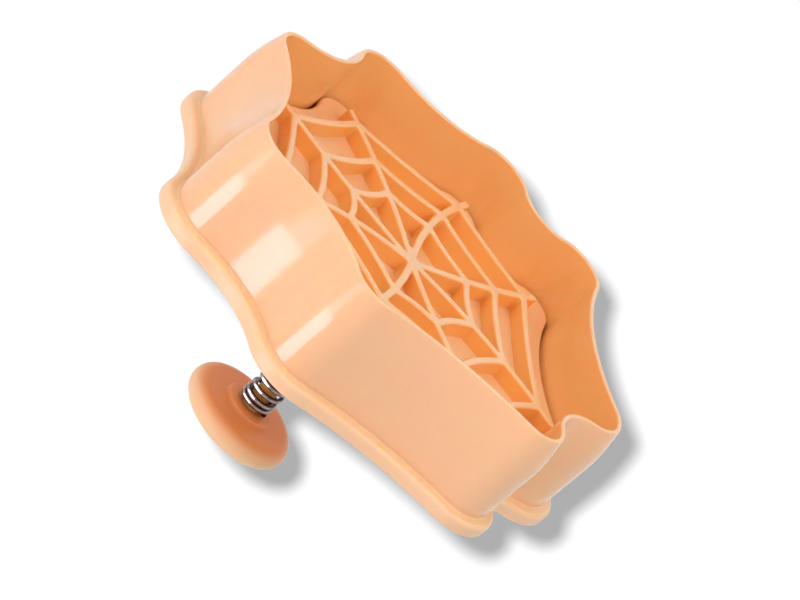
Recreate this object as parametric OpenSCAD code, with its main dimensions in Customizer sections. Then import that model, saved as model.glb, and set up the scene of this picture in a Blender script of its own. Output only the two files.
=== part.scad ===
// Plunger cutter with a spider-web stamp.
// The lobed cutter stands on its cutting rim. A web stamp slides inside it on a post,
// and a spring under the knob draws the stamp back from the rim.
// Frame: origin on the plunger axis in the plane of the cutting rim, +Z towards the knob.
// Lengths are in millimetres and angles in degrees.

/* [Cutter outline] */
// Usual distance from the axis to a lobe's tip on the cutting rim
corner_r = 45; // [40:0.5:54]
// How far each lobe's tip lies beyond that distance
lobe_extra = [-0.3, 1.1, -1.1, 1, -0.4, -0.7, -0.9, 1.2]; // [-2:0.1:2]
// Rounding of each lobe's tip
lobe_rounds = [8.1, 6.7, 6, 6.9, 6.4, 6.8, 6.8, 6.3]; // [5.5:0.1:9]
// Direction of each lobe, counter-clockwise from +X
lobe_angles = [0, 34, 89, 131.5, 181, 220, 264.5, 296]; // [0:0.5:360]
// Depth of the hollow after each lobe, below the straight line that touches both lobes
hollow_depths = [4.3, 1.9, 3.8, 2.9, 4.2, 3.5, 5.2, 3.8]; // [1:0.1:6]

/* [Cutter wall] */
// Thickness of the wall at the cutting rim
rim_t = 0.8; // [0.6:0.1:1.4]
// Bevel along both edges of the cutting rim
rim_edge = 0.2; // [0.1:0.05:0.25]
// Height of the wall from the cutting rim to the lip
wall_h = 20; // [17:0.5:26]
// How far the wall thickens outwards behind the cutting rim
wall_swell = 1.4; // [0.8:0.1:2]
// Height over which it thickens, in a curve that ends upright
taper_h = 9; // [6:0.5:12]
// Fillet between the wall's foot and the lip
wall_fillet = 0.4; // [0.2:0.1:0.8]

/* [Lip and back] */
// How far the lip stands out from the wall's foot
lip_w = 2.1; // [1.8:0.05:3]
// Thickness of the lip
lip_t = 3; // [2.4:0.1:4]
// Rounding of the lip's two edges
lip_edge = 0.9; // [0.4:0.1:1.1]
// Thickness of the closed back
back_t = 2.4; // [1.6:0.1:3]

/* [Plunger guide] */
// Diameter of the stamp's post
post_d = 3.6; // [3:0.1:3.8]
// Running clearance round the post, on the radius
post_clearance = 0.05; // [0.02:0.01:0.1]
// Diameter of the guide boss inside the back
guide_d = 10; // [7:0.5:16]

/* [Web stamp] */
// How far the ribs' tops lie behind the cutting rim at rest
web_depth = 8.7; // [6:0.1:9.5]
// Height of the ribs
rib_h = 3.2; // [2:0.1:4]
// Width of the ribs
rib_w = 1.5; // [0.9:0.1:1.8]
// Thickness of the plate that carries the ribs
plate_t = 2; // [1.5:0.1:3]
// Gap between the plate's edge and the wall
stamp_clearance = 0.5; // [0.4:0.05:1]
// Distance from each spoke's end to the circle of the lobes' tips
spoke_margin = 8.7; // [7:0.1:10]
// Distance from each spoke's end to where the outer, middle and inner threads meet it
outer_ring = [3.6, 3.3, 3.3, 2.6, 3.3, 2.6, 3.3, 3.1]; // [2:0.1:5]
middle_ring = [13.2, 12.3, 15, 12.8, 11.9, 11.3, 11.6, 12.3]; // [10:0.1:16]
inner_ring = [21.2, 21.8, 21.7, 20.9, 20, 19, 19.8, 20.7]; // [18:0.1:24]
// How far each spoke's end lies off its lobe's direction
spoke_leans = [0, 0.5, 1, 2.5, 1, -2, 0, 2.5]; // [-3:0.5:3]
// How far each spoke swings on from there towards the hub
spoke_lags = [-15, 11.5, -13, 18, -6, 9, -13, 6]; // [-30:0.5:30]
// Where the spokes meet, from the plunger axis
hub_shift = [-0.5, 1]; // [-2:0.1:2]
// Sag of each thread towards the hub
thread_sag = 0.8; // [0:0.1:1]

/* [Push knob] */
// Diameter of the knob
knob_d = 22.5; // [19:0.5:30]
// Thickness of the knob, whose edge is fully round
knob_t = 4.8; // [4:0.1:6.5]
// Rise of the knob's outer face at its middle
knob_crown = 0.4; // [0:0.1:1]
// Diameter of the low boss that the spring seats on
boss_d = 10; // [8:0.5:13]
// Height of that boss
boss_h = 0.9; // [0.5:0.1:1.5]
// Depth of the post's socket, from the boss
socket_depth = 3.6; // [2.5:0.1:4]
// Gap round the post in its socket, on the radius
socket_fit = 0.02; // [0.01:0.01:0.04]

/* [Return spring] */
// Length between the back and the knob's boss
spring_l = 27.3; // [24:0.1:34]
// Diameter of the wire
wire_d = 1; // [0.6:0.05:1]
// Diameter of the coil at the middle of the wire
coil_d = 5.6; // [5.2:0.1:6.5]
// Number of turns
turns = 15; // [12:1:16]
// Number of close turns at each end
end_turns = 2; // [1:1:3]
// Pitch of the close turns
end_pitch = 1.15; // [1.15:0.05:1.5]
// Gap between the wire and each seat
seat_gap = 0.05; // [0.02:0.01:0.1]

/* [Hidden] */
$fn = 72;

plastic = [0.97, 0.70, 0.46];
steel = [0.72, 0.72, 0.74];

// Steps along each lobe's tip, each hollow, the wall's taper, each fillet, each edge of the lip
// and half of the knob's round edge
tip_steps = 6;
hollow_steps = 8;
taper_steps = 4;
fillet_steps = 2;
lip_steps = 3;
edge_steps = 5;
// Steps along each spoke, each thread and the round end of a spoke
spoke_steps = 8;
thread_steps = 6;
cap_steps = 5;
// Steps along the knob's crown, round the wire and along one turn of the spring
crown_steps = 5;
wire_sides = 6;
turn_steps = 8;
// How far a drill runs past the faces that it cuts
overcut = 1;

lobes = len(lobe_angles);
back_z = wall_h + lip_t;
floor_z = back_z - back_t;
plate_z = web_depth + rib_h;
plate_back_z = plate_z + plate_t;
boss_z = back_z + spring_l;
post_r = post_d / 2;
bore_r = post_r + post_clearance;
post_tip_z = boss_z + socket_depth;
lip_out = wall_swell + lip_w;
spoke_end = corner_r - spoke_margin;

function along(a) = [cos(a), sin(a)];
function angle_of(v) = atan2(v.y, v.x);
// Angle a taken to within half a turn of angle b
function near_to(a, b) = a - 360 * round((a - b) / 360);
function mix(a, b, t) = a + (b - a) * t;

// The outline is a chain of arcs: one round each lobe's tip, one along the hollow after it.
// An offset of the outline keeps the arcs' centres, so wall, lip and stamp stay parallel.
function lobe_angle(i) = lobe_angles[i % lobes];
function tip_round(i) = lobe_rounds[i % lobes];
function tip_centre(i) = (corner_r + lobe_extra[i % lobes] - tip_round(i)) * along(lobe_angle(i));

// Arc of the hollow after a lobe, as [centre, radius]: it touches the arcs of both lobes, and
// its lowest point lies at the hollow's depth below the line that touches them from outside
function hollow(i) =
    let (
        a = tip_centre(i),
        b = tip_centre(i + 1),
        ra = tip_round(i),
        rb = tip_round(i + 1),
        lean = asin((ra - rb) / norm(b - a)),
        heading = angle_of(b - a) + lean,
        run = norm(b - a) * cos(lean),
        depth = hollow_depths[i % lobes],
        low = run / 2 + depth * (ra - rb) / run,
        r = (low * low + depth * depth) / (2 * depth) - ra
    )
    [a + low * along(heading) + (ra + r - depth) * along(heading - 90), r];

function tip_arc(i, out) =
    let (
        centre = tip_centre(i),
        a0 = near_to(angle_of(hollow(i + lobes - 1)[0] - centre), lobe_angle(i)),
        a1 = near_to(angle_of(hollow(i)[0] - centre), lobe_angle(i))
    )
    [for (k = [0 : tip_steps]) centre + (tip_round(i) + out) * along(mix(a0, a1, k / tip_steps))];

function hollow_arc(i, out) =
    let (
        bow = hollow(i),
        a0 = angle_of(tip_centre(i) - bow[0]),
        a1 = near_to(angle_of(tip_centre(i + 1) - bow[0]), a0)
    )
    [for (k = [1 : hollow_steps - 1]) bow[0] + (bow[1] - out) * along(mix(a0, a1, k / hollow_steps))];

// Outline of the cutting rim, offset outwards
function outline(out) = [for (i = [0 : lobes - 1]) each concat(tip_arc(i, out), hollow_arc(i, out))];

// Section through the wall and lip as [offset from the rim's outline, height],
// from the foot of the inner wall round the rim and the lip to the back
function arc_points(centre, r, a0, a1, steps) =
    [for (k = [0 : steps]) centre + r * along(mix(a0, a1, k / steps))];

function shell_section() =
    let (
        fillet_centre = [wall_swell + wall_fillet, wall_h - wall_fillet],
        front_centre = [lip_out - lip_edge, wall_h + lip_edge],
        back_centre = [lip_out - lip_edge, back_z - lip_edge]
    )
    concat(
        [[-rim_t, floor_z], [-rim_t, rim_edge], [rim_edge - rim_t, 0], [-rim_edge, 0]],
        [for (k = [0 : taper_steps])
            let (t = k / taper_steps) [wall_swell * sin(90 * t), mix(rim_edge, taper_h, t)]],
        arc_points(fillet_centre, wall_fillet, 180, 90, fillet_steps),
        arc_points(front_centre, lip_edge, -90, 0, lip_steps),
        arc_points(back_centre, lip_edge, 0, 90, lip_steps)
    );

// Closed cup: the section carried round the outline, with the floor and the back filled in
module cup(section) {
    rings = [for (s = section) [for (p = outline(s.x)) [p.x, p.y, s.y]]];
    count = len(rings[0]);
    last = len(rings) - 1;
    floor_i = count * len(rings);
    back_i = floor_i + 1;
    points = concat(
        [for (ring = rings) each ring],
        [[0, 0, section[0].y], [0, 0, section[last].y]]
    );
    walls = [
        for (j = [0 : last - 1], i = [0 : count - 1])
            let (
                k = (i + 1) % count,
                a = j * count + i,
                b = j * count + k,
                c = a + count,
                d = b + count
            )
            each [[a, c, d], [a, d, b]]
    ];
    floor_fan = [for (i = [0 : count - 1]) [floor_i, i, (i + 1) % count]];
    back_fan = [for (i = [0 : count - 1]) [back_i, last * count + (i + 1) % count, last * count + i]];
    polyhedron(points, concat(walls, floor_fan, back_fan));
}

module cutter_shell() {
    color(plastic)
    difference() {
        union() {
            cup(shell_section());
            translate([0, 0, plate_back_z])
                cylinder(d = guide_d, h = floor_z + back_t / 2 - plate_back_z);
        }
        translate([0, 0, plate_back_z - overcut])
            cylinder(r = bore_r, h = back_z - plate_back_z + 2 * overcut);
    }
}

// The web: spokes that swing towards the lobes, and rings of sagging threads between them
function spoke_point(i, r) =
    let (
        inner = 1 - r / spoke_end,
        angle = lobe_angle(i) + spoke_leans[i % lobes] + spoke_lags[i % lobes] * inner
    )
    r * along(angle) + hub_shift * inner;

function spoke_line(i) = [for (k = [0 : spoke_steps]) spoke_point(i, spoke_end * k / spoke_steps)];

function joint(i, ring) = spoke_point(i, spoke_end - ring[i % lobes]);

function thread_line(i, ring) =
    let (
        a = joint(i, ring),
        b = joint(i + 1, ring),
        across = (b - a) / norm(b - a),
        inwards = [-across.y, across.x]
    )
    [for (k = [0 : thread_steps])
        let (t = k / thread_steps) mix(a, b, t) + inwards * thread_sag * 4 * t * (1 - t)];

// Side direction of a line at point k, from its neighbours
function side_of(line, k) =
    let (
        d = line[min(k + 1, len(line) - 1)] - line[max(k - 1, 0)],
        u = d / norm(d)
    )
    [-u.y, u.x];

// Strip of one width along a line, with a flat start and a round or flat end
module strip(line, w, round_end = false) {
    last = len(line) - 1;
    tip_angle = angle_of(side_of(line, last));
    left = [for (k = [0 : last]) line[k] + side_of(line, k) * w / 2];
    right = [for (k = [last : -1 : 0]) line[k] - side_of(line, k) * w / 2];
    cap = [
        for (k = [1 : cap_steps - 1])
            line[last] + w / 2 * along(tip_angle - 180 * k / cap_steps)
    ];
    polygon(concat(left, round_end ? cap : [], right));
}

module web_lines() {
    translate(hub_shift) circle(d = 2 * rib_w);
    for (i = [0 : lobes - 1]) {
        strip(spoke_line(i), rib_w, round_end = true);
        for (ring = [outer_ring, middle_ring, inner_ring]) strip(thread_line(i, ring), rib_w);
    }
}

module web_stamp() {
    color(plastic) {
        translate([0, 0, web_depth])
            linear_extrude(rib_h + plate_t / 2) web_lines();
        translate([0, 0, plate_z])
            linear_extrude(plate_t) polygon(outline(-rim_t - stamp_clearance));
        translate([0, 0, plate_z + plate_t / 2])
            cylinder(r = post_r, h = post_tip_z - plate_z - plate_t / 2);
    }
}

// Half section of the knob as [radius, height above the boss], from its socket round to the crown
function knob_section() =
    let (
        edge_r = knob_t / 2,
        flat_r = knob_d / 2 - edge_r,
        socket_r = post_r + socket_fit,
        rim = [flat_r, boss_h + edge_r]
    )
    concat(
        [[socket_r, 0], [boss_d / 2, 0], [boss_d / 2, boss_h]],
        arc_points(rim, edge_r, -90, 90, 2 * edge_steps),
        [for (k = [1 : crown_steps])
            let (t = k / crown_steps)
            [flat_r * (1 - t), boss_h + knob_t + knob_crown * (1 - pow(1 - t, 2))]],
        [[0, socket_depth], [socket_r, socket_depth]]
    );

module push_knob() {
    color(plastic)
    translate([0, 0, boss_z])
        rotate_extrude() polygon(knob_section());
}

// The spring's wire as a line of points: close end turns, even turns between them,
// and each end run straight on for one wire diameter
coil_r = coil_d / 2;
wire_low = back_z + seat_gap + wire_d / 2;
wire_high = boss_z - seat_gap - wire_d / 2;
body_turns = turns - 2 * end_turns;
body_pitch = (wire_high - wire_low - 2 * end_turns * end_pitch) / body_turns;

function wire_height(turn) =
    wire_low
    + end_pitch * min(turn, end_turns)
    + body_pitch * min(max(turn - end_turns, 0), body_turns)
    + end_pitch * max(turn - turns + end_turns, 0);
function coil_point(turn) = [
    coil_r * cos(360 * turn),
    coil_r * sin(360 * turn),
    wire_height(turn)
];
coil = [for (k = [0 : turns * turn_steps]) coil_point(k / turn_steps)];
// The coil starts and ends on +X, where the wire runs along +Y
tail = [0, wire_d, 0];
wire = concat([coil[0] - tail], coil, [coil[len(coil) - 1] + tail]);

// Least gap between the wire and the turns before and after it
turn_gap = min([
    for (i = [0 : len(wire) - 1], j = [i + turn_steps / 2 : 1 : len(wire) - 1]) norm(wire[j] - wire[i])
]) - wire_d;
echo(least_gap_between_turns = turn_gap);

module tube(line, d, sides) {
    last = len(line) - 1;
    rings = [
        for (k = [0 : last])
            let (
                run = line[min(k + 1, last)] - line[max(k - 1, 0)],
                ahead = run / norm(run),
                flat = cross([0, 0, 1], ahead),
                side = flat / norm(flat),
                up = cross(ahead, side)
            )
            [for (s = [0 : sides - 1])
                let (a = 360 * s / sides) line[k] + d / 2 * (side * cos(a) + up * sin(a))]
    ];
    walls = [
        for (k = [0 : last - 1], s = [0 : sides - 1])
            let (
                a = k * sides + s,
                b = k * sides + (s + 1) % sides
            )
            each [[a, a + sides, b + sides], [a, b + sides, b]]
    ];
    start_cap = [for (s = [1 : sides - 2]) [0, s, s + 1]];
    end_cap = [for (s = [1 : sides - 2]) [last * sides, last * sides + s + 1, last * sides + s]];
    polyhedron([for (ring = rings) each ring], concat(walls, start_cap, end_cap));
}

module return_spring() {
    color(steel) tube(wire, wire_d, wire_sides);
}

cutter_shell();
web_stamp();
push_knob();
return_spring();
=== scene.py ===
"""Looks of a plunger cutter: a lobed cutter shell, a web stamp, a push knob and a return spring.

Lengths in the classes are millimetres in the frame of the solids: the origin lies on the plunger's
axis in the plane of the cutting rim, and +Z points to the knob. Blender's own meshes are in metres.
"""

import logging
import math
from collections.abc import Callable, Iterable, Mapping, Sequence
from dataclasses import dataclass
from enum import Enum
from typing import Any

import bmesh
import bpy
from mathutils import Matrix, Vector
from mathutils.geometry import delaunay_2d_cdt

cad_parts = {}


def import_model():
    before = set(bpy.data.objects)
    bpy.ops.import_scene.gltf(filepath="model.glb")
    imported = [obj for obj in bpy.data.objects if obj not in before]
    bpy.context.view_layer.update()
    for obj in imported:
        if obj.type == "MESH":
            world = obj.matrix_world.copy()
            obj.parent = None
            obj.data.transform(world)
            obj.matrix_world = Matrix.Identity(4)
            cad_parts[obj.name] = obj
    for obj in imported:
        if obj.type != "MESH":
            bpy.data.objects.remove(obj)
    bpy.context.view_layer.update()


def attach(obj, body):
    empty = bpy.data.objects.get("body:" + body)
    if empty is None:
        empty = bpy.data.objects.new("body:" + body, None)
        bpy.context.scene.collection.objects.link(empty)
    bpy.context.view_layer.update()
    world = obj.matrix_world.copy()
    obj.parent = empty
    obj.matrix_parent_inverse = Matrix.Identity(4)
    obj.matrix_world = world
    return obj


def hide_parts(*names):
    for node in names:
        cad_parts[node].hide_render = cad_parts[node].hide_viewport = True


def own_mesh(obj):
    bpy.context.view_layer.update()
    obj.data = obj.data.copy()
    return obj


LOG = logging.getLogger("plunger_cutter")

MM = 0.001
WELD = 0.002
CDT_INSIDE = 1
CDT_NEAR = 1e-5
# Face attribute with each face's share of painted shade, a deeper colour standing in for the shade in
# hollows, creases and under the knob.
PAINTED_SHADE = "hollow"

Colour = tuple[float, float, float]
Loop = list[Vector]
Socket = bpy.types.NodeSocket
Piece = bpy.types.Object
Finish = bpy.types.Material
# Gives a face's share of painted shade.
PaintedShadeRule = Callable[[Vector, Vector], float]


class Body(Enum):
    """The two bodies that the pieces ride on."""

    CUTTER = "cutter"
    PLUNGER = "plunger"


class Slot(Enum):
    """The record's material slots."""

    PLASTIC = "peach_plastic"
    STEEL = "spring_steel"


def direction(degrees: float) -> Vector:
    """Returns the unit vector in the plane at an angle from +X."""
    return Vector((math.cos(math.radians(degrees)), math.sin(math.radians(degrees))))


def heading(vector: Vector) -> float:
    """Returns the angle of a vector in the plane, in degrees."""
    return math.degrees(math.atan2(vector.y, vector.x))


def arc(centre: Vector, radius: float, start: float, end: float, steps: int) -> Loop:
    """Returns points along an arc between two angles in degrees, with both ends included."""
    return [centre + radius * direction(start + (end - start) * k / steps) for k in range(steps + 1)]


def near_to(angle: float, other: float) -> float:
    """Returns an angle taken to within half a turn of another one, in degrees."""
    return angle - 360.0 * round((angle - other) / 360.0)


def add_object(name: str, data: bpy.types.ID) -> Piece:
    """Adds an object to the scene.

    Args:
        name: Name of the object.
        data: Mesh, curve, lamp or camera that it shows.

    Returns:
        The object.
    """
    made = bpy.data.objects.new(name, data)
    bpy.context.scene.collection.objects.link(made)
    return made


def guide_curve(name: str, lines: Iterable[Loop], closed: bool = True) -> Piece:
    """Makes a curve object that a node tree can read, in metres.

    Args:
        name: Name of the object.
        lines: Lines of points in millimetres.
        closed: Whether each line runs back to its start.

    Returns:
        The curve object, which is removed after use.
    """
    curve = bpy.data.curves.new(name, "CURVE")
    curve.dimensions = "3D"
    for line in lines:
        spline = curve.splines.new("POLY")
        spline.points.add(len(line) - 1)
        for point, place in zip(spline.points, line):
            point.co = (place.x * MM, place.y * MM, 0.0, 1.0)
        spline.use_cyclic_u = closed
    return add_object(name, curve)


class NodeSketch:
    """A node tree under construction."""

    def __init__(self, tree: bpy.types.NodeTree) -> None:
        """Starts from a tree, which may already hold nodes."""
        self.tree = tree

    def feed(self, socket: Socket, source: Any) -> None:
        """Links a socket to an output, or sets its own value.

        Args:
            socket: Input of a node.
            source: The output or the value.
        """
        if isinstance(source, Socket):
            self.tree.links.new(source, socket)
        else:
            socket.default_value = source

    def node(self, kind: str, inputs: Mapping[str | int, Any], **settings: Any) -> bpy.types.Node:
        """Adds a node.

        Args:
            kind: Blender's name for the kind of node.
            inputs: Outputs to link from or values to set, by input name or number.
            **settings: Properties of the node.

        Returns:
            The node.
        """
        made = self.tree.nodes.new(kind)
        for key, value in settings.items():
            setattr(made, key, value)
        for key, source in inputs.items():
            self.feed(made.inputs[key], source)
        return made

    def run(self, kind: str, inputs: Mapping[str | int, Any], **settings: Any) -> Socket:
        """Adds a node and returns its first output."""
        return self.node(kind, inputs, **settings).outputs[0]

    def math(self, operation: str, first: Any, second: Any = 0.0) -> Socket:
        """Returns a sum, product or other function of two numbers."""
        return self.run("ShaderNodeMath", {0: first, 1: second}, operation=operation)


@dataclass(frozen=True)
class Corner:
    """A corner of a section: how far out it lies, its height, and its rounding."""

    out: Any
    height: Any
    rounding: Any = 0.0


class ShapeSketch(NodeSketch):
    """A geometry node tree with named inputs for the sizes of a piece."""

    def __init__(self, name: str) -> None:
        """Starts an empty tree.

        Args:
            name: Name of the tree.
        """
        super().__init__(bpy.data.node_groups.new(name, "GeometryNodeTree"))
        self.tree.interface.new_socket("Geometry", in_out="OUTPUT", socket_type="NodeSocketGeometry")
        self.inlet = self.tree.nodes.new("NodeGroupInput")
        self.values: dict[str, Any] = {}

    def given(self, name: str, kind: str, value: Any) -> Socket:
        """Adds a named input.

        Args:
            name: Name that the input shows.
            kind: Blender's name for the kind of socket.
            value: Value that the modifier gives it.

        Returns:
            The output of the group's input node.
        """
        item = self.tree.interface.new_socket(name, in_out="INPUT", socket_type=kind)
        self.values[item.identifier] = value
        return self.inlet.outputs[name]

    def size(self, name: str, millimetres: float) -> Socket:
        """Adds a length as a named input."""
        return self.given(name, "NodeSocketFloat", millimetres * MM)

    def fields(self, owner: Any, *names: str) -> list[Socket]:
        """Adds fields of a piece as named inputs.

        Args:
            owner: Holder of the fields.
            *names: Names of the fields; whole numbers stay as they are, and the rest are lengths.

        Returns:
            The output for each field.
        """
        made = []
        for name in names:
            label, value = name.replace("_", " ").title(), getattr(owner, name)
            whole = isinstance(value, int)
            made.append(self.given(label, "NodeSocketInt", value) if whole else self.size(label, value))
        return made

    def path(self, name: str, guide: Piece) -> Socket:
        """Adds a guide curve as a named input and returns its line, with level normals."""
        source = self.given(name, "NodeSocketObject", guide)
        return self.upright(self.node("GeometryNodeObjectInfo", {"Object": source}).outputs["Geometry"])

    def ring(self, radius: Any, steps: Any) -> Socket:
        """Returns a circle round the plunger's axis, with level normals."""
        circle = self.run("GeometryNodeCurvePrimitiveCircle", {"Resolution": steps, "Radius": radius})
        return self.upright(circle)

    def upright(self, line: Socket) -> Socket:
        """Returns a curve whose normals stay level, so that a section stands upright on it."""
        return self.run("GeometryNodeSetCurveNormal", {"Curve": line}, mode="Z_UP")

    def line(self, points: Any, places: Socket) -> Socket:
        """Draws a curve through points.

        Args:
            points: Number of points.
            places: Place of each point.

        Returns:
            The curve.
        """
        made = self.run("GeometryNodeCurvePrimitiveLine", {})
        made = self.run("GeometryNodeResampleCurve", {"Curve": made, "Count": points})
        return self.run("GeometryNodeSetPosition", {"Geometry": made, "Position": places})

    def choose(self, kind: str, options: Sequence[Any]) -> Socket:
        """Picks one of several values by the number of each point.

        Args:
            kind: Blender's name for the kind of value.
            options: The values, in the order of the points.

        Returns:
            The value at each point.
        """
        made = self.tree.nodes.new("GeometryNodeIndexSwitch")
        made.data_type = kind
        for _ in options[2:]:
            made.index_switch_items.new()
        self.feed(made.inputs["Index"], self.run("GeometryNodeInputIndex", {}))
        for number, option in enumerate(options):
            self.feed(made.inputs[str(number)], option)
        return made.outputs[0]

    def section(self, arc_steps: Any, *corners: Corner) -> Socket:
        """Draws a section as straight runs with rounded corners.

        Args:
            arc_steps: Number of points in each rounding.
            *corners: The section's corners in order, as sockets or numbers in metres.

        Returns:
            The section as a curve, turned so that a sweep carries its heights along +Z.
        """
        places = [
            self.run("ShaderNodeCombineXYZ", {"X": corner.out, "Y": corner.height}) for corner in corners
        ]
        place = self.choose("VECTOR", places)
        turned = self.run("ShaderNodeVectorMath", {0: place, 1: (1.0, -1.0, 1.0)}, operation="MULTIPLY")
        rounding = self.choose("FLOAT", [corner.rounding for corner in corners])
        line = self.line(len(corners), turned)
        return self.run(
            "GeometryNodeFilletCurve",
            {"Curve": line, "Count": arc_steps, "Radius": rounding, "Limit Radius": True},
            mode="POLY",
        )

    def sweep(self, path: Socket, section: Socket) -> Socket:
        """Returns the skin that a section leaves as it runs along a path."""
        return self.run("GeometryNodeCurveToMesh", {"Curve": path, "Profile Curve": section})

    def offset(self, path: Socket, distance: Any) -> Socket:
        """Moves a path sideways.

        Args:
            path: A path with level normals.
            distance: How far it moves, outwards for a counter-clockwise path.

        Returns:
            The moved path.
        """
        normal = self.run("GeometryNodeInputNormal", {})
        move = self.run("ShaderNodeVectorMath", {"Vector": normal, "Scale": distance}, operation="SCALE")
        return self.run("GeometryNodeSetPosition", {"Geometry": path, "Offset": move})

    def join(self, *parts: Socket) -> Socket:
        """Joins several geometries.

        Args:
            *parts: The geometries.

        Returns:
            All of them as one.
        """
        made = self.tree.nodes.new("GeometryNodeJoinGeometry")
        for part in parts:
            self.tree.links.new(part, made.inputs["Geometry"])
        return made.outputs[0]

    def fill(self, height: Any, *paths: Socket) -> Socket:
        """Fills closed paths with a flat face.

        Args:
            height: Height of the face.
            *paths: The paths, of which one inside another is a hole.

        Returns:
            The face.
        """
        flat = self.run("GeometryNodeFillCurve", {"Curve": self.join(*paths)}, mode="TRIANGLES")
        lift = self.run("ShaderNodeCombineXYZ", {"Z": height})
        return self.run("GeometryNodeTransform", {"Geometry": flat, "Translation": lift})

    def build(self, name: str, skin: Socket, finish: Finish) -> Piece:
        """Ends the tree and turns its result into a plain mesh.

        Args:
            name: Name of the piece.
            skin: The geometry that the tree has made.
            finish: Material of the piece.

        Returns:
            The piece, with no modifier left on it.
        """
        welded = self.run("GeometryNodeMergeByDistance", {"Geometry": skin, "Distance": WELD * MM})
        solid = self.run("GeometryNodeRealizeInstances", {"Geometry": welded})
        material = self.given("Material", "NodeSocketMaterial", finish)
        dressed = self.run("GeometryNodeSetMaterial", {"Geometry": solid, "Material": material})
        outlet = self.tree.nodes.new("NodeGroupOutput")
        self.tree.links.new(dressed, outlet.inputs[0])

        piece = add_object(name, bpy.data.meshes.new(name))
        modifier = piece.modifiers.new("shape", "NODES")
        modifier.node_group = self.tree
        for identifier, value in self.values.items():
            modifier[identifier] = value
        settle(piece)
        for value in self.values.values():
            if isinstance(value, Piece):
                bpy.data.objects.remove(value)
        return piece


def settle(piece: Piece) -> None:
    """Turns a piece and its modifiers into one plain mesh.

    Args:
        piece: The piece, which keeps its name.
    """
    depsgraph = bpy.context.evaluated_depsgraph_get()
    mesh = bpy.data.meshes.new_from_object(piece.evaluated_get(depsgraph))
    mesh.name = piece.name
    piece.modifiers.clear()
    piece.data = mesh


def smooth(piece: Piece, sharp_from: float = 40.0) -> int:
    """Points the faces outwards and shades them smoothly, with the large faces kept flat.

    Args:
        piece: A closed piece.
        sharp_from: Angle from which an edge stays sharp, in degrees.

    Returns:
        The number of edges that don't join two faces.
    """
    shape = bmesh.new()
    shape.from_mesh(piece.data)
    bmesh.ops.recalc_face_normals(shape, faces=shape.faces)
    loose = sum(1 for edge in shape.edges if not edge.is_manifold)
    shape.to_mesh(piece.data)
    shape.free()
    piece.data.shade_smooth()
    piece.data.set_sharp_from_angle(angle=math.radians(sharp_from))
    weights = piece.modifiers.new("weights", "WEIGHTED_NORMAL")
    weights.keep_sharp = True
    settle(piece)
    return loose


def mark_hollows(piece: Piece, rule: PaintedShadeRule) -> None:
    """Stores on each face its share of painted shade, a deeper colour that stands in for the shade in
    hollows.

    Args:
        piece: A closed piece whose faces point outwards.
        rule: Gives the share of painted shade, from 0 to 1, for a face's middle in millimetres and its
            direction.
    """
    faces = piece.data.polygons
    marks = piece.data.attributes.new(PAINTED_SHADE, "FLOAT", "FACE")
    marks.data.foreach_set("value", [rule(face.center / MM, face.normal) for face in faces])


def share(value: float, low: float, high: float) -> float:
    """Returns how far a value lies between two others, from 0 to 1."""
    return min(1.0, max(0.0, (value - low) / (high - low)))


def mount(piece: Piece, body: Body, node: str, rule: PaintedShadeRule) -> None:
    """Puts a piece on its body in place of its solid, and reports it.

    Args:
        piece: A closed piece.
        body: Body that the piece moves with.
        node: Node whose solid the piece replaces.
        rule: Tells where the piece gets painted shade.
    """
    loose = smooth(piece)
    mark_hollows(piece, rule)
    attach(piece, body.value)
    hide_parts(node)
    LOG.info("%s: %d faces, %d loose edges, on %s", piece.name, len(piece.data.polygons), loose, body.value)


class MaterialSketch(NodeSketch):
    """A material under construction, with its shader."""

    def __init__(self, name: str) -> None:
        """Starts a material.

        Args:
            name: Name of the material.
        """
        self.material = bpy.data.materials.new(name)
        self.material.use_nodes = True
        super().__init__(self.material.node_tree)
        self.shader = self.tree.nodes["Principled BSDF"]
        self.place = self.node("ShaderNodeTexCoord", {}).outputs["Object"]

    def noise(self, grain: float, detail: float = 2.0) -> Socket:
        """Makes an even noise.

        Args:
            grain: Width of its grain, in millimetres.
            detail: How many finer grains are added.

        Returns:
            The noise.
        """
        return self.run(
            "ShaderNodeTexNoise", {"Vector": self.place, "Scale": 1.0 / (grain * MM), "Detail": detail}
        )

    def mottle(self, grain: float, detail: float = 2.0) -> Socket:
        """Returns a noise of that grain, stretched to run from 0 to 1."""
        return self.span(self.noise(grain, detail), 0.3, 0.7, 0.0, 1.0)

    def span(self, value: Any, low: float, high: float, to_low: float, to_high: float) -> Socket:
        """Carries a value from one range to another.

        Args:
            value: The value.
            low: Start of its range.
            high: End of its range.
            to_low: Start of the range that it is carried to.
            to_high: End of that range.

        Returns:
            The carried value, held within the second range.
        """
        return self.run(
            "ShaderNodeMapRange",
            {"Value": value, "From Min": low, "From Max": high, "To Min": to_low, "To Max": to_high},
        )

    def blend(self, part: Any, first: Any, second: Any) -> Socket:
        """Returns a colour between two others."""
        made = self.node("ShaderNodeMix", {0: part, 6: first, 7: second}, data_type="RGBA")
        return made.outputs[2]

    def deepen(self, colour: Any, tone: Colour) -> Socket:
        """Returns a colour that turns into a painted shade tone on the faces marked with painted shade."""
        hollow = self.node("ShaderNodeAttribute", {}, attribute_name=PAINTED_SHADE).outputs["Fac"]
        return self.blend(hollow, colour, opaque(tone))

    def dress(self, **sockets: Any) -> None:
        """Feeds the shader's sockets, whose names are given with underscores for spaces."""
        for name, source in sockets.items():
            self.feed(self.shader.inputs[name.replace("_", " ")], source)


def opaque(colour: Colour) -> tuple[float, float, float, float]:
    """Returns a colour with full alpha."""
    return (*colour, 1.0)


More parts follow.
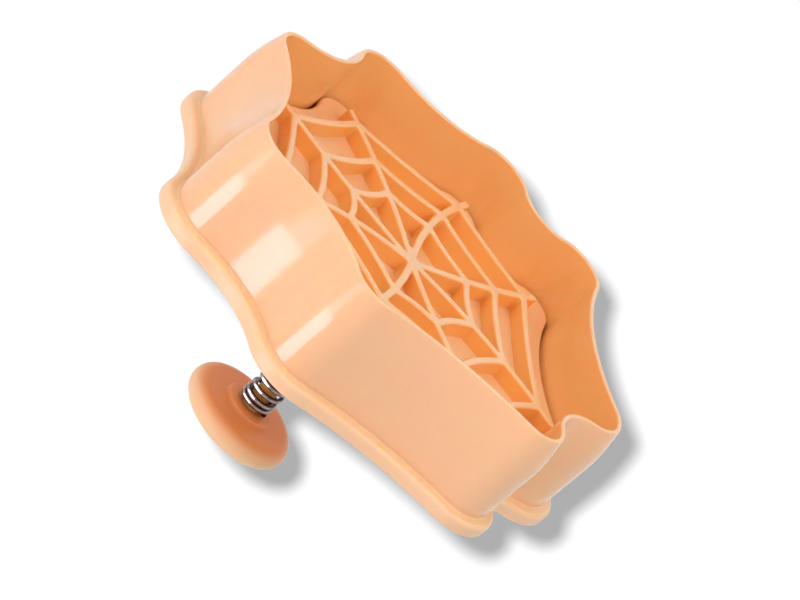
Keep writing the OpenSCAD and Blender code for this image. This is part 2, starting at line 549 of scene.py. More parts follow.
@dataclass(frozen=True)
class MouldedPlastic:
    """Peach plastic as it leaves the mould: a little uneven, with painted shade in hollows, paler at the
    cutting rim, and painted light on the lip where it is asked for.
    """

    name: str = "peach_plastic_moulded"
    tone: Colour = (0.96, 0.552, 0.302)
    drift_tone: Colour = (0.945, 0.528, 0.278)
    # Painted shade: the deeper tone on faces marked with painted shade.
    hollow_tone: Colour = (0.985, 0.51, 0.165)
    # Pale tone and its shares: at the cutting rim it only pales the edge; on the lip it is painted light, a
    # lighter lip where light falls on it.
    rubbed_tone: Colour = (0.97, 0.61, 0.36)
    rubbed_height: float = 0.6
    rim_rub: float = 0.3
    lip_rub: float = 0.0
    drift: float = 26.0
    grain: float = 0.5
    roughness: tuple[float, float] = (0.15, 0.21)
    satin_span: tuple[float, float] = (19.4, 20.0)
    satin_roughness: float = 0.24
    sheen_level: float = 0.5
    skin_strength: float = 0.05
    skin_relief: float = 0.012
    glow_reach: Colour = (1.0, 0.36, 0.12)
    glow_depth: float = 0.8

    def material(self) -> Finish:
        """Makes the plastic.

        Returns:
            The material.
        """
        sketch = MaterialSketch(self.name)
        colour = sketch.blend(sketch.mottle(self.drift), opaque(self.tone), opaque(self.drift_tone))
        # Painted shade: deeper colour on the faces marked with it.
        colour = sketch.deepen(colour, self.hollow_tone)
        height = sketch.node("ShaderNodeSeparateXYZ", {0: sketch.place}).outputs["Z"]
        low, high = (edge * MM for edge in self.satin_span)
        # Paler at the cutting rim, and painted light over the lip, from the wall's foot up.
        rim = sketch.span(height, 0.0, self.rubbed_height * MM, self.rim_rub, 0.0)
        lip = sketch.span(height, low, high, 0.0, self.lip_rub)
        colour = sketch.blend(sketch.math("ADD", rim, lip), colour, opaque(self.rubbed_tone))
        skin = sketch.noise(self.grain, 3.0)
        bump = sketch.run(
            "ShaderNodeBump",
            {"Strength": self.skin_strength, "Distance": self.skin_relief * MM, "Height": skin},
        )
        gloss = sketch.span(skin, 0.25, 0.75, *self.roughness)
        satin = sketch.span(height, low, high, 0.0, self.satin_roughness)
        sketch.dress(
            Base_Color=colour,
            Roughness=sketch.math("ADD", gloss, satin),
            Normal=bump,
            IOR=1.5,
            Specular_IOR_Level=self.sheen_level,
            Subsurface_Weight=1.0,
            Subsurface_Radius=self.glow_reach,
            Subsurface_Scale=self.glow_depth * MM,
        )
        return sketch.material


@dataclass(frozen=True)
class DrawnSteel:
    """Bright drawn wire with a faint mottle, and painted shade on the side of the wire that faces the coil's
    middle, between its turns.
    """

    name: str = "spring_steel_drawn"
    tone: Colour = (0.4, 0.345, 0.355)
    dull_tone: Colour = (0.2, 0.165, 0.175)
    # Painted shade on the wire's side that faces the coil's middle.
    hollow_tone: Colour = (0.045, 0.03, 0.033)
    mottle: float = 0.9
    roughness: tuple[float, float] = (0.1, 0.2)

    def material(self) -> Finish:
        """Makes the steel.

        Returns:
            The material.
        """
        sketch = MaterialSketch(self.name)
        mottle = sketch.mottle(self.mottle, 3.0)
        colour = sketch.blend(mottle, opaque(self.tone), opaque(self.dull_tone))
        sketch.dress(
            Base_Color=sketch.deepen(colour, self.hollow_tone),
            Metallic=1.0,
            Roughness=sketch.span(mottle, 0.0, 1.0, *self.roughness),
        )
        return sketch.material


@dataclass
class LobedOutline:
    """Outline of the cutting rim: a chain of arcs, one round each lobe and one along each hollow."""

    tip_reaches: tuple[float, ...] = (44.7, 46.1, 43.9, 46.0, 44.6, 44.3, 44.1, 46.2)
    tip_rounds: tuple[float, ...] = (8.1, 6.7, 6.0, 6.9, 6.4, 6.8, 6.8, 6.3)
    lobe_angles: tuple[float, ...] = (0.0, 34.0, 89.0, 131.5, 181.0, 220.0, 264.5, 296.0)
    hollow_depths: tuple[float, ...] = (4.3, 1.9, 3.8, 2.9, 4.2, 3.5, 5.2, 3.8)
    tip_steps: int = 18
    hollow_steps: int = 22

    @property
    def lobes(self) -> int:
        """The number of lobes."""
        return len(self.lobe_angles)

    def lobe_angle(self, lobe: int) -> float:
        """Returns a lobe's direction, in degrees."""
        return self.lobe_angles[lobe % self.lobes]

    def tip_round(self, lobe: int) -> float:
        """Returns the radius of the arc round a lobe."""
        return self.tip_rounds[lobe % self.lobes]

    def tip_centre(self, lobe: int) -> Vector:
        """Returns the centre of the arc round a lobe."""
        reach = self.tip_reaches[lobe % self.lobes] - self.tip_round(lobe)
        return reach * direction(self.lobe_angle(lobe))

    def hollow(self, lobe: int) -> tuple[Vector, float]:
        """The arc along the hollow after a lobe, which touches the arcs of both lobes.

        Args:
            lobe: Number of the lobe before the hollow.

        Returns:
            The arc's centre and radius.
        """
        first, second = self.tip_centre(lobe), self.tip_centre(lobe + 1)
        round_step = self.tip_round(lobe) - self.tip_round(lobe + 1)
        span = (second - first).length
        lean = math.asin(round_step / span)
        along = heading(second - first) + math.degrees(lean)
        run = span * math.cos(lean)
        depth = self.hollow_depths[lobe % self.lobes]
        low = run / 2.0 + depth * round_step / run
        radius = (low**2 + depth**2) / (2.0 * depth) - self.tip_round(lobe)
        rise = self.tip_round(lobe) + radius - depth
        return first + low * direction(along) + rise * direction(along - 90.0), radius

    def loop(self, out: float = 0.0) -> Loop:
        """The outline, counter-clockwise.

        Args:
            out: How far the outline is moved outwards; the arcs keep their centres.

        Returns:
            The points of the closed line.
        """
        points: Loop = []
        for lobe in range(self.lobes):
            tip, facing = self.tip_centre(lobe), self.lobe_angle(lobe)
            before, _ = self.hollow(lobe - 1)
            hollow, radius = self.hollow(lobe)
            start = near_to(heading(before - tip), facing)
            end = near_to(heading(hollow - tip), facing)
            points += arc(tip, self.tip_round(lobe) + out, start, end, self.tip_steps)
            start = heading(tip - hollow)
            end = near_to(heading(self.tip_centre(lobe + 1) - hollow), start)
            points += arc(hollow, radius - out, start, end, self.hollow_steps)[1:-1]
        return points


@dataclass
class Heights:
    """Heights above the cutting rim that several pieces share."""

    rib_top: float = 8.7
    plate_face: float = 11.9
    plate_back: float = 13.9
    wall_foot: float = 20.0
    floor: float = 20.6
    back: float = 23.0
    knob_boss: float = 50.3
    post_tip: float = 53.9
    travel: float = 11.9


@dataclass
class CutterShell:
    """The cutter: a lobed wall with a thin rim, a soft-edged lip, and the closed back with its guide."""

    outline: LobedOutline
    heights: Heights
    plastic: Finish
    rim_thickness: float = 0.8
    rim_edge: float = 0.36
    wall_swell: float = 1.4
    taper_height: float = 9.0
    wall_fillet: float = 0.3
    lip_reach: float = 3.4
    lip_edge: float = 0.9
    back_margin: float = 0.99
    floor_fillet: float = 0.8
    guide_radius: float = 5.0
    guide_edge: float = 0.3
    bore_radius: float = 1.85
    # Painted shade: its share at the rim, the heights over which it deepens down the inner wall, and its
    # share in the crease at the lip's foot.
    rim_hollow: float = 0.3
    hollow_span: tuple[float, float] = (2.0, 13.0)
    foot_hollow: float = 0.6
    ring_steps: int = 48
    arc_steps: int = 7
    taper_steps: int = 6

    def hollow_share(self, place: Vector, facing: Vector) -> float:
        """Gives the painted shade on the inner wall, deeper further down, and in the crease at the lip's
        foot.

        Args:
            place: Middle of the face, in millimetres.
            facing: Direction of the face.

        Returns:
            The share of painted shade, from 0 for a face outside to 1.
        """
        inside = share(-facing.xy.dot(place.xy.normalized()), 0.0, 0.3)
        depth = self.rim_hollow + (1.0 - self.rim_hollow) * share(place.z, *self.hollow_span)
        foot = self.heights.wall_foot
        at_foot = share(place.z, foot - 0.4, foot - 0.1) * share(place.z, foot + 0.3, foot)
        return max(inside * depth, self.foot_hollow * at_foot * share(-facing.z, 0.3, 0.95))

    def build(self) -> None:
        """Builds the shell on the cutter's body."""
        sketch = ShapeSketch("lobed_shell")
        rim = sketch.path("Rim Outline", guide_curve("rim_outline", [self.outline.loop()]))
        thickness, edge, swell, taper = sketch.fields(
            self, "rim_thickness", "rim_edge", "wall_swell", "taper_height"
        )
        wall_fillet, reach, lip_edge, back_margin, floor_fillet = sketch.fields(
            self, "wall_fillet", "lip_reach", "lip_edge", "back_margin", "floor_fillet"
        )
        foot, floor, back, guide_end = sketch.fields(self.heights, "wall_foot", "floor", "back", "plate_back")
        steps, around = sketch.fields(self, "arc_steps", "ring_steps")
        inside = sketch.math("MULTIPLY", thickness, -1.0)
        back_edge = sketch.math("SUBTRACT", reach, back_margin)
        floor_edge = sketch.math("SUBTRACT", inside, floor_fillet)
        rises = [k / self.taper_steps for k in range(1, self.taper_steps + 1)]
        swelling = [
            Corner(
                sketch.math("MULTIPLY", swell, math.sin(math.pi / 2.0 * rise)),
                sketch.math("MULTIPLY", taper, rise),
            )
            for rise in rises
        ]
        wall = sketch.section(
            steps,
            Corner(floor_edge, floor),
            Corner(inside, floor, floor_fillet),
            Corner(inside, 0.0, edge),
            Corner(0.0, 0.0, edge),
            *swelling,
            Corner(swell, foot, wall_fillet),
            Corner(reach, foot, lip_edge),
            Corner(reach, back, lip_edge),
            Corner(back_edge, back),
        )
        guide, guide_edge, bore = sketch.fields(self, "guide_radius", "guide_edge", "bore_radius")
        guide_out = sketch.math("SUBTRACT", guide, bore)
        guide_foot = sketch.math("ADD", guide_out, floor_fillet)
        tube = sketch.section(
            steps,
            Corner(guide_foot, floor),
            Corner(guide_out, floor, floor_fillet),
            Corner(guide_out, guide_end, guide_edge),
            Corner(0.0, guide_end, guide_edge),
            Corner(0.0, back),
        )
        bore_line = sketch.ring(bore, around)
        foot_line = sketch.ring(sketch.math("ADD", guide, floor_fillet), around)
        skin = sketch.join(
            sketch.sweep(rim, wall),
            sketch.fill(floor, sketch.offset(rim, floor_edge), foot_line),
            sketch.fill(back, sketch.offset(rim, back_edge), bore_line),
            sketch.sweep(bore_line, tube),
        )
        piece = sketch.build("shell_moulding", skin, self.plastic)
        mount(piece, Body.CUTTER, "cutter_shell", self.hollow_share)


@dataclass
class WebPlan:
    """Plan of the web: spokes that swing towards the lobes, and rings of sagging threads between them."""

    outline: LobedOutline
    rib_width: float = 1.5
    spoke_end: float = 36.3
    outer_ring: tuple[float, ...] = (32.7, 33.0, 33.0, 33.7, 33.0, 33.7, 33.0, 33.2)
    middle_ring: tuple[float, ...] = (23.1, 24.0, 21.3, 23.5, 24.4, 25.0, 24.7, 24.0)
    inner_ring: tuple[float, ...] = (15.1, 14.5, 14.6, 15.4, 16.3, 17.3, 16.5, 15.6)
    spoke_leans: tuple[float, ...] = (0.0, 0.5, 1.0, 2.5, 1.0, -2.0, 0.0, 2.5)
    spoke_lags: tuple[float, ...] = (-15.0, 11.5, -13.0, 18.0, -6.0, 9.0, -13.0, 6.0)
    hub: tuple[float, float] = (-0.5, 1.0)
    thread_sag: float = 0.8
    corner_round: float = 0.4
    corner_turn: float = 25.0
    corner_room: float = 1.2
    corner_share: float = 0.45
    corner_step: float = 15.0
    least_step: float = 0.05
    hub_radius: float = 0.9
    spoke_steps: int = 9
    thread_steps: int = 8
    cap_steps: int = 12
    hub_steps: int = 12

    def spoke_point(self, lobe: int, reach: float) -> Vector:
        """Finds a point of a spoke.

        Args:
            lobe: Number of the spoke's lobe.
            reach: Distance from the hub.

        Returns:
            The point.
        """
        inner = 1.0 - reach / self.spoke_end
        spoke = lobe % self.outline.lobes
        angle = self.outline.lobe_angle(lobe) + self.spoke_leans[spoke] + self.spoke_lags[spoke] * inner
        return reach * direction(angle) + inner * Vector(self.hub)

    def spoke_line(self, lobe: int) -> Loop:
        """Returns the middle line of a lobe's spoke, from the hub out."""
        reaches = [self.spoke_end * k / self.spoke_steps for k in range(self.spoke_steps + 1)]
        return [self.spoke_point(lobe, reach) for reach in reaches]

    def thread_line(self, lobe: int, ring: Sequence[float]) -> Loop:
        """Draws the middle line of a thread.

        Args:
            lobe: Number of the lobe whose spoke the thread starts on.
            ring: Distance from the hub at which the thread's ring meets each spoke.

        Returns:
            The points of the line.
        """
        start = self.spoke_point(lobe, ring[lobe])
        end = self.spoke_point(lobe + 1, ring[(lobe + 1) % self.outline.lobes])
        across = (end - start).normalized()
        inwards = Vector((-across.y, across.x)) * self.thread_sag
        shares = [k / self.thread_steps for k in range(self.thread_steps + 1)]
        return [start.lerp(end, t) + inwards * 4.0 * t * (1.0 - t) for t in shares]

    def strip(self, line: Loop, round_end: bool) -> Loop:
        """A strip of the ribs' width along a line.

        Args:
            line: Middle line of the strip.
            round_end: Whether the far end is round.

        Returns:
            The strip's outline, counter-clockwise.
        """
        half = self.rib_width / 2.0
        sides = []
        for k in range(len(line)):
            run = (line[min(k + 1, len(line) - 1)] - line[max(k - 1, 0)]).normalized()
            sides.append(Vector((-run.y, run.x)) * half)
        left = [point + side for point, side in zip(line, sides)]
        right = [point - side for point, side in zip(line, sides)]
        tip = heading(sides[-1])
        cap = arc(line[-1], half, tip - 180.0, tip, self.cap_steps)[1:-1] if round_end else []
        return [*right, *cap, *reversed(left)]

    def strips(self) -> list[Loop]:
        """Draws the hub, the spokes and the threads.

        Returns:
            Their outlines, which overlap.
        """
        hub = arc(Vector(self.hub), self.hub_radius, 0.0, 360.0, self.hub_steps)[:-1]
        shapes = [hub]
        for lobe in range(self.outline.lobes):
            shapes.append(self.strip(self.spoke_line(lobe), round_end=True))
            for ring in (self.outer_ring, self.middle_ring, self.inner_ring):
                shapes.append(self.strip(self.thread_line(lobe, ring), round_end=False))
        return shapes

    def loops(self) -> list[Loop]:
        """Draws the web as one shape.

        Returns:
            Its outlines, with the ribs on the left of each line.
        """
        points: Loop = []
        faces: list[list[int]] = []
        for shape in self.strips():
            faces.append(list(range(len(points), len(points) + len(shape))))
            points += shape
        corners, _, triangles, _, _, sources = delaunay_2d_cdt(points, [], faces, CDT_INSIDE, CDT_NEAR)
        sides = set()
        for triangle, source in zip(triangles, sources):
            if source:
                sides.update(zip(triangle, [*triangle[1:], triangle[0]]))
        follows = {a: b for a, b in sides if (b, a) not in sides}
        loops = []
        while follows:
            start = next(iter(follows))
            chain = [start]
            step = follows.pop(start)
            while step != start:
                chain.append(step)
                step = follows.pop(step)
            loops.append(self.rounded([corners[k] for k in chain]))
        return loops

    @staticmethod
    def turn(loop: Loop, k: int) -> float:
        """Returns how much a closed line turns at one of its points, in degrees."""
        return 180.0 - math.degrees((loop[k - 1] - loop[k]).angle(loop[(k + 1) % len(loop)] - loop[k]))

    def tidied(self, loop: Loop) -> Loop:
        """Leaves out short steps, and slight bends beside a sharp corner.

        Args:
            loop: A closed line.

        Returns:
            The points that stay.
        """
        steps = [p for p, q in zip(loop, [loop[-1], *loop[:-1]]) if (p - q).length > self.least_step]
        sharp = [self.turn(steps, k) >= self.corner_turn for k in range(len(steps))]
        corners = [point for point, corner in zip(steps, sharp) if corner]
        return [
            point
            for point, corner in zip(steps, sharp)
            if corner or all((point - other).length > self.corner_room for other in corners)
        ]

    def rounded(self, loop: Loop) -> Loop:
        """A closed line with its sharp corners rounded.

        Args:
            loop: The closed line.

        Returns:
            The line with a small arc at each corner.
        """
        kept = self.tidied(loop)
        points: Loop = []
        for k, point in enumerate(kept):
            before, after = kept[k - 1] - point, kept[(k + 1) % len(kept)] - point
            turn = self.turn(kept, k)
            if turn < self.corner_turn:
                points.append(point)
                continue
            half = math.radians(turn / 2.0)
            room = self.corner_share * min(before.length, after.length)
            run = min(self.corner_round * math.tan(half), room)
            centre = point + (before.normalized() + after.normalized()).normalized() * run / math.sin(half)
            start = heading(point + before.normalized() * run - centre)
            end = near_to(heading(point + after.normalized() * run - centre), start)
            points += arc(centre, run / math.tan(half), start, end, max(2, round(turn / self.corner_step)))
        return points


@dataclass
class WebStamp:
    """The stamp: a lobed plate with the web's ribs on its face and the plunger's post on its back."""

    outline: LobedOutline
    heights: Heights
    plastic: Finish
    plate_inset: float = 1.3
    plate_edge: float = 0.7
    rib_edge: float = 0.4
    rib_root: float = 0.09
    post_radius: float = 1.8
    tip_bevel: float = 0.4
    ring_steps: int = 48
    arc_steps: int = 5

    @staticmethod
    def hollow_share(_place: Vector, facing: Vector) -> float:
        """Returns the painted shade: 1 for a rib's side and 0 for its top and the plate's face."""
        return share(1.0 - abs(facing.z), 0.2, 0.8)

    def build(self) -> None:
        """Builds the stamp on the plunger's body."""
        sketch = ShapeSketch("ribbed_plate")
        web = sketch.path("Web Outlines", guide_curve("web_outlines", WebPlan(self.outline).loops()))
        plan = [self.outline.loop(-self.plate_inset)]
        plate = sketch.path("Plate Outline", guide_curve("plate_outline", plan))
        top, face, back, tip = sketch.fields(self.heights, "rib_top", "plate_face", "plate_back", "post_tip")
        rib_edge, rib_root, plate_edge = sketch.fields(self, "rib_edge", "rib_root", "plate_edge")
        steps, around = sketch.fields(self, "arc_steps", "ring_steps")
        rib_in = sketch.math("MULTIPLY", rib_edge, -1.0)
        plate_in = sketch.math("MULTIPLY", plate_edge, -1.0)
        rib = sketch.section(
            steps,
            Corner(rib_in, top),
            Corner(0.0, top, rib_edge),
            Corner(0.0, face, rib_root),
            Corner(rib_root, face),
        )
        rim = sketch.section(
            steps,
            Corner(plate_in, face),
            Corner(0.0, face, plate_edge),
            Corner(0.0, back, plate_edge),
            Corner(plate_in, back),
        )
        radius, bevel = sketch.fields(self, "post_radius", "tip_bevel")
        tip_in = sketch.math("MULTIPLY", bevel, -1.0)
        shaft = sketch.section(steps, Corner(0.0, back), Corner(0.0, tip, bevel), Corner(tip_in, tip))
        post = sketch.ring(radius, around)
        end = sketch.ring(sketch.math("SUBTRACT", radius, bevel), around)
        inner_plate = sketch.offset(plate, plate_in)
        skin = sketch.join(
            sketch.sweep(web, rib),
            sketch.fill(top, sketch.offset(web, rib_in)),
            sketch.fill(face, sketch.offset(web, rib_root), inner_plate),
            sketch.sweep(plate, rim),
            sketch.fill(back, inner_plate, post),
            sketch.sweep(post, shaft),
            sketch.fill(tip, end),
        )
        piece = sketch.build("stamp_moulding", skin, self.plastic)
        mount(piece, Body.PLUNGER, "web_stamp", self.hollow_share)


@dataclass
class PushKnob:
    """The knob: a soft-edged disc with a low boss for the spring and a blind socket for the post."""

    heights: Heights
    plastic: Finish
    radius: float = 11.25
    thickness: float = 4.8
    crown: float = 0.4
    boss_radius: float = 5.0
    boss_height: float = 0.9
    boss_edge: float = 0.22
    socket_radius: float = 1.82
    socket_depth: float = 3.6
    path_radius: float = 10.0
    # Share of painted shade on the boss's side.
    boss_hollow: float = 0.7
    boss_steps: int = 5
    edge_steps: int = 20
    crown_steps: int = 8
    ring_steps: int = 96

    def hollow_share(self, place: Vector, facing: Vector) -> float:
        """Returns the painted shade: 1 for the face towards the spring, less for the boss's side, and 0
        outside.
        """
        boss = share(place.xy.length, self.boss_radius + 0.6, self.boss_radius + 0.5)
        return max(share(-facing.z, 0.4, 1.0), self.boss_hollow * boss * share(facing.z, 0.5, 0.3))

    def half_section(self) -> Loop:
        """Draws the half section, from the socket to the crown.

        Returns:
            Its points, as radius and height above the boss's face.
        """
        edge, soft = self.thickness / 2.0, self.boss_edge
        flat = self.radius - edge
        boss, step = self.boss_radius, self.boss_height
        shares = [k / self.crown_steps for k in range(1, self.crown_steps + 1)]
        return [
            Vector((0.0, self.socket_depth)),
            Vector((self.socket_radius, self.socket_depth)),
            Vector((self.socket_radius, 0.0)),
            *arc(Vector((boss - soft, soft)), soft, -90.0, 0.0, self.boss_steps),
            *arc(Vector((boss + soft, step - soft)), soft, 180.0, 90.0, self.boss_steps),
            *arc(Vector((flat, step + edge)), edge, -90.0, 90.0, self.edge_steps),
            *[
                Vector((flat * (1.0 - t), step + self.thickness + self.crown * (1.0 - (1.0 - t) ** 2)))
                for t in shares
            ],
        ]

    def build(self) -> None:
        """Builds the knob on the plunger's body."""
        sketch = ShapeSketch("turned_knob")
        line = [
            Vector((point.x - self.path_radius, -point.y - self.heights.knob_boss))
            for point in self.half_section()
        ]
        profile = sketch.path("Half Section", guide_curve("knob_section", [line], closed=False))
        radius, around = sketch.fields(self, "path_radius", "ring_steps")
        skin = sketch.sweep(sketch.ring(radius, around), profile)
        piece = sketch.build("knob_moulding", skin, self.plastic)
        mount(piece, Body.PLUNGER, "push_knob", self.hollow_share)


@dataclass
class ReturnSpring:
    """The spring: a wire with close end turns and even turns between them."""

    heights: Heights
    steel: Finish
    coil_diameter: float = 5.6
    wire_diameter: float = 1.0
    turns: int = 15
    end_turns: int = 2
    end_pitch: float = 1.15
    seat_gap: float = 0.05
    turn_steps: int = 32
    wire_sides: int = 14

    @staticmethod
    def hollow_share(place: Vector, facing: Vector) -> float:
        """Returns the painted shade: 0 for the outer crest of the wire and 1 for its inner side."""
        return share(-facing.xy.dot(place.xy.normalized()), -0.85, -0.1)

    def wire_height(self, sketch: ShapeSketch, turn: Socket, turns: Any) -> Socket:
        """The height of the wire's middle line.

        Args:
            sketch: The tree under construction.
            turn: How many turns lie below the point.
            turns: Number of turns in all.

        Returns:
            The height, in metres.
        """
        wire = self.wire_diameter / 2.0 + self.seat_gap
        low = sketch.size("Wire Low", self.heights.back + wire)
        high = sketch.size("Wire High", self.heights.knob_boss - wire)
        pitch, close = sketch.fields(self, "end_pitch", "end_turns")
        far = sketch.math("SUBTRACT", turns, close)
        middle = sketch.math("SUBTRACT", far, close)
        ends = sketch.math("MULTIPLY", sketch.math("MULTIPLY", pitch, close), 2.0)
        rise = sketch.math("SUBTRACT", sketch.math("SUBTRACT", high, low), ends)
        body_pitch = sketch.math("DIVIDE", rise, middle)
        first = sketch.math("MINIMUM", turn, close)
        body = sketch.math("MINIMUM", sketch.math("MAXIMUM", sketch.math("SUBTRACT", turn, close)), middle)
        last = sketch.math("MAXIMUM", sketch.math("SUBTRACT", turn, far))
        height = sketch.math("ADD", low, sketch.math("MULTIPLY", pitch, sketch.math("ADD", first, last)))
        return sketch.math("ADD", height, sketch.math("MULTIPLY", body_pitch, body))

    def build(self) -> None:
        """Builds the spring on the cutter's body, its turns spread between the back and the knob's boss."""
        sketch = ShapeSketch("coil_spring")
        coil, thickness = sketch.fields(self, "coil_diameter", "wire_diameter")
        turns, steps, sides = sketch.fields(self, "turns", "turn_steps", "wire_sides")
        radius = sketch.math("MULTIPLY", coil, 0.5)
        wire = sketch.math("MULTIPLY", thickness, 0.5)
        points = sketch.math("ADD", sketch.math("MULTIPLY", turns, steps), 1.0)
        turn = sketch.math("MULTIPLY", sketch.run("GeometryNodeSplineParameter", {}), turns)
        angle = sketch.math("MULTIPLY", turn, 2.0 * math.pi)
        place = sketch.run(
            "ShaderNodeCombineXYZ",
            {
                "X": sketch.math("MULTIPLY", radius, sketch.math("COSINE", angle)),
                "Y": sketch.math("MULTIPLY", radius, sketch.math("SINE", angle)),
                "Z": self.wire_height(sketch, turn, turns),
            },
        )
        line = sketch.upright(sketch.line(points, place))
        skin = sketch.run(
            "GeometryNodeCurveToMesh",
            {"Curve": line, "Profile Curve": sketch.ring(wire, sides), "Fill Caps": True},
        )
        piece = sketch.build("spring_coil", skin, self.steel)
        mount(piece, Body.CUTTER, "return_spring", self.hollow_share)
        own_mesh(piece)


def light_alone(lamp: Piece, piece: Piece) -> None:
    """Limits a lamp to one object.

    Args:
        lamp: The lamp.
        piece: The only object that it lights.
    """
    lit = bpy.data.collections.new(f"{lamp.name}_only")
    lit.objects.link(piece)
    lamp.light_linking.receiver_collection = lit


@dataclass(frozen=True)
class SoftBox:
    """A flat studio lamp that faces the object, or lights only one piece of it."""

    name: str
    azimuth: float
    elevation: float
    distance: float
    width: float
    height: float
    power: float
    tint: Colour = (1.0, 1.0, 1.0)
    only: str = ""

    def hang(self, aim: Vector) -> None:
        """Hangs the lamp so that it faces a point.

        Args:
            aim: The point, in metres.
        """
        lamp = bpy.data.lights.new(self.name, "AREA")
        lamp.shape = "RECTANGLE"
        lamp.size, lamp.size_y = self.width * MM, self.height * MM
        lamp.energy = self.power
        lamp.color = self.tint
        holder = add_object(self.name, lamp)
        flat = direction(self.azimuth) * math.cos(math.radians(self.elevation))
        away = Vector((flat.x, flat.y, math.sin(math.radians(self.elevation))))
        holder.matrix_world = Matrix.Translation(aim + away * self.distance * MM) @ (
            away.to_track_quat("Z", "Y").to_matrix().to_4x4()
        )
        holder.visible_camera = False
        if self.only:
            light_alone(holder, bpy.data.objects[self.only])


@dataclass
class Studio:
    """The camera of the photograph, a pale floor and backdrop, and soft light."""

    eye: tuple[float, float, float] = (25.737, 636.978, -253.504)
    target: tuple[float, float, float] = (3.304, 5.505, 13.307)
    roll: float = -130.684
    frame_width: float = 800.0
    focal_pixels: float = 4000.0
    sensor: float = 36.0
    aim_height: float = 12.0
    fill_light: float = 0.5
    floor_size: float = 6000.0
    floor_gap: float = 0.05
    backdrop_depth: float = 2000.0
    backdrop_size: float = 900.0
    floor_paper: tuple[float, float] = (0.8, 0.1)
    backdrop_paper: tuple[float, float] = (0.5, 0.11)
    shadow_lamp_shift: tuple[float, float] = (-4.7, 5.7)
    shadow_lamp_radius: float = 2.6
    shadow_lamp_power: float = 190.0
    boxes: tuple[SoftBox, ...] = (
        SoftBox("key_panel", 118.0, 22.0, 600.0, 350.0, 130.0, 0.9, (0.88, 0.8, 1.02)),
        SoftBox("low_strip", 121.0, 6.0, 600.0, 240.0, 200.0, 0.34, (0.88, 0.8, 1.02)),
        SoftBox("front_panel", 50.0, -52.0, 700.0, 600.0, 600.0, 2.3),
        SoftBox("left_panel", 150.0, -38.0, 700.0, 600.0, 600.0, 1.5),
        SoftBox("back_panel", 120.0, 58.0, 700.0, 500.0, 500.0, 1.15),
        SoftBox("spring_panel", 140.0, 10.0, 450.0, 700.0, 700.0, 12.0, only="spring_coil"),
    )

    def view(self) -> Matrix:
        """Finds the camera's place and turn.

        Returns:
            The camera's matrix, in metres.
        """
        eye, target = Vector(self.eye) * MM, Vector(self.target) * MM
        ahead = (target - eye).normalized()
        level = ahead.cross(Vector((0.0, 0.0, 1.0))).normalized()
        upright = level.cross(ahead)
        turn = math.radians(self.roll)
        right = level * math.cos(turn) + upright * math.sin(turn)
        axes = Matrix((right, right.cross(ahead), -ahead)).transposed()
        return Matrix.Translation(eye) @ axes.to_4x4()

    def set_camera(self) -> None:
        """Makes the camera that frames the object as the photograph does."""
        lens = bpy.data.cameras.new("photo_camera")
        lens.sensor_width = self.sensor
        lens.lens = self.focal_pixels / self.frame_width * self.sensor
        camera = add_object("photo_camera", lens)
        camera.matrix_world = self.view()
        bpy.context.scene.camera = camera

    def set_world(self) -> None:
        """Makes an even white surround that also fills the shadows."""
        world = bpy.data.worlds.new("white_studio")
        world.use_nodes = True
        bpy.context.scene.world = world
        sketch = NodeSketch(world.node_tree)
        world.node_tree.nodes.clear()
        rays = sketch.node("ShaderNodeLightPath", {})
        seen = sketch.math("MAXIMUM", rays.outputs["Is Camera Ray"], rays.outputs["Is Glossy Ray"])
        seen = sketch.math("MAXIMUM", seen, rays.outputs["Is Transmission Ray"])
        paint = opaque((1.0, 1.0, 1.0))
        fill = sketch.run("ShaderNodeBackground", {"Color": paint, "Strength": self.fill_light})
        white = sketch.run("ShaderNodeBackground", {"Color": paint, "Strength": 1.0})
        surround = sketch.run("ShaderNodeMixShader", {0: seen, 1: fill, 2: white})
        sketch.node("ShaderNodeOutputWorld", {"Surface": surround})

    def screen(self, name: str, place: Matrix, size: float, finish: Finish) -> Piece:
        """Makes a square of the stage that only the camera sees.

        Args:
            name: Name of the square.
            place: Its place and turn, in metres.
            size: Length of its side, in millimetres.
            finish: Its material.

        Returns:
            The square.
        """
        half = size * MM / 2.0
        signs = ((-1.0, -1.0), (1.0, -1.0), (1.0, 1.0), (-1.0, 1.0))
        corners = [place @ Vector((x * half, y * half, 0.0)) for x, y in signs]
        mesh = bpy.data.meshes.new(name)
        mesh.from_pydata(corners, [], [(0, 1, 2, 3)])
        mesh.materials.append(finish)
        square = add_object(name, mesh)
        for ray in ("diffuse", "glossy", "transmission", "shadow"):
            setattr(square, f"visible_{ray}", False)
        return square

    def paper(self, name: str, shade: float, glow: float) -> Finish:
        """Pale paper that is clear from behind.

        Args:
            name: Name of the material.
            shade: How much of the light it gives back.
            glow: Light that is added to it.

        Returns:
            The material.
        """
        material = bpy.data.materials.new(name)
        material.use_nodes = True
        sketch = NodeSketch(material.node_tree)
        material.node_tree.nodes.clear()
        matt = sketch.run("ShaderNodeBsdfDiffuse", {"Color": opaque((shade, shade, shade))})
        light = sketch.run("ShaderNodeEmission", {"Strength": glow})
        front = sketch.run("ShaderNodeAddShader", {0: matt, 1: light})
        behind = sketch.node("ShaderNodeNewGeometry", {}).outputs["Backfacing"]
        clear = sketch.run("ShaderNodeBsdfTransparent", {})
        surface = sketch.run("ShaderNodeMixShader", {0: behind, 1: front, 2: clear})
        sketch.node("ShaderNodeOutputMaterial", {"Surface": surface})
        return material

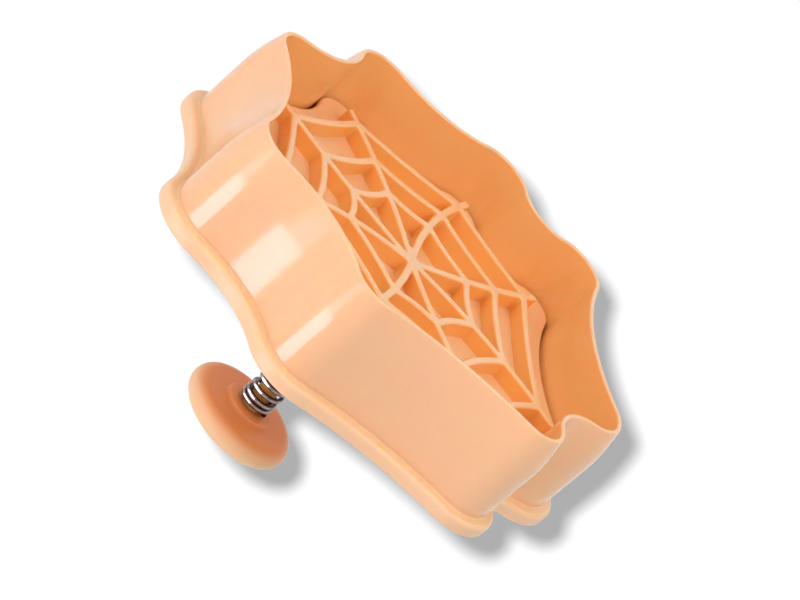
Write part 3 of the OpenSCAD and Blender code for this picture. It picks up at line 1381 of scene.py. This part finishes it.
    def set_stage(self) -> None:
        """Makes the floor under the rim, the backdrop behind the object, and the backdrop's shadow."""
        ground = Matrix.Translation((0.0, 0.0, -self.floor_gap * MM))
        self.screen("floor", ground, self.floor_size, self.paper("pale_floor", *self.floor_paper))
        away = self.view() @ Matrix.Translation((0.0, 0.0, -self.backdrop_depth * MM))
        paper = self.paper("pale_backdrop", *self.backdrop_paper)
        backdrop = self.screen("backdrop", away, self.backdrop_size, paper)
        lamp = bpy.data.lights.new("shadow_lamp", "POINT")
        lamp.energy = self.shadow_lamp_power
        lamp.shadow_soft_size = self.shadow_lamp_radius * MM
        holder = add_object("shadow_lamp", lamp)
        shift = Vector((*self.shadow_lamp_shift, 0.0)) * MM
        holder.location = self.view() @ shift
        holder.visible_camera = False
        holder.visible_glossy = False
        light_alone(holder, backdrop)

    def build(self) -> None:
        """Sets the camera, the surround, the stage and the lamps."""
        bpy.context.scene.view_settings.view_transform = "Standard"
        self.set_camera()
        self.set_world()
        self.set_stage()
        middle = Vector((0.0, 0.0, self.aim_height)) * MM
        for box in self.boxes:
            box.hang(middle)
        LOG.info("studio: %d lamps and the backdrop's own", len(self.boxes))


def main() -> None:
    """Builds the pieces and the studio in order."""
    logging.basicConfig(level=logging.INFO, format="%(name)s: %(message)s")
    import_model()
    outline = LobedOutline()
    heights = Heights()
    # The shell's plastic, with painted light on the lip.
    plastic = MouldedPlastic(lip_rub=0.7, sheen_level=0.68).material()
    # A deeper copy of the plastic for the stamp: painted shade for the inside of the cutter, deepest on the
    # ribs' sides.
    inner = MouldedPlastic(
        "peach_plastic_inner",
        tone=(0.965, 0.54, 0.28),
        drift_tone=(0.955, 0.525, 0.26),
        hollow_tone=(0.965, 0.47, 0.135),
        sheen_level=0.4,
    ).material()
    # A satin copy for the knob, a little paler, with dark painted shade on its underside, under the cutter's
    # body.
    satin = MouldedPlastic(
        "peach_plastic_satin",
        tone=(0.95, 0.585, 0.33),
        drift_tone=(0.94, 0.565, 0.305),
        hollow_tone=(0.84, 0.335, 0.12),
        sheen_level=0.25,
    ).material()
    CutterShell(outline, heights, plastic).build()
    WebStamp(outline, heights, inner).build()
    PushKnob(heights, satin).build()
    ReturnSpring(heights, DrawnSteel().material()).build()
    Studio().build()


if __name__ == "__main__":
    main()
